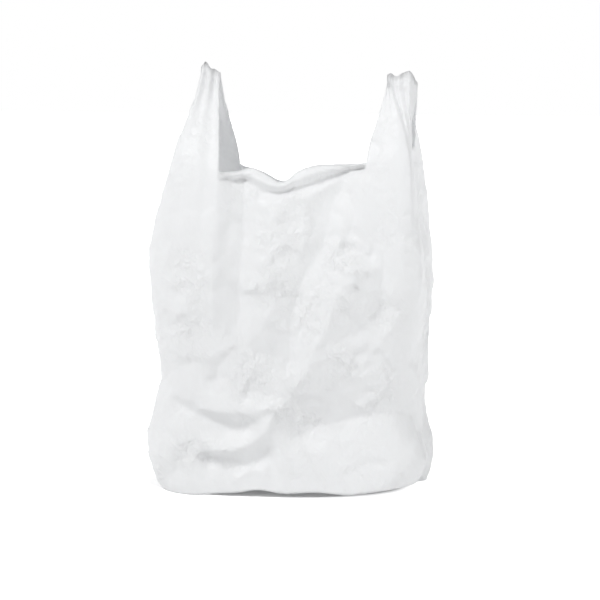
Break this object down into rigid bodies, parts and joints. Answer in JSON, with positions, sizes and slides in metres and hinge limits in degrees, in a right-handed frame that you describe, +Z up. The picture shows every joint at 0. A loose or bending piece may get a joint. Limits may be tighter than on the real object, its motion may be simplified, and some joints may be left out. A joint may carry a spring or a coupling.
{
  "type": "tie-handle bin liner",
  "caption": "Thin white film bag standing open, with side gussets, a cut mouth with a turned-in collar, and a gathered loop handle at each side.",
  "frame": {"origin": "on the floor under the middle of the standing bag", "axes": "+Z up, front panel towards -Y, the handles to left and right along X"},
  "size_m": [0.3, 0.185, 0.4526],
  "materials": {
    "film": "thin white film, satin, finely crumpled"
  },
  "bodies": {
    "root": {"liner": "film"}
  },
  "joints": []
}
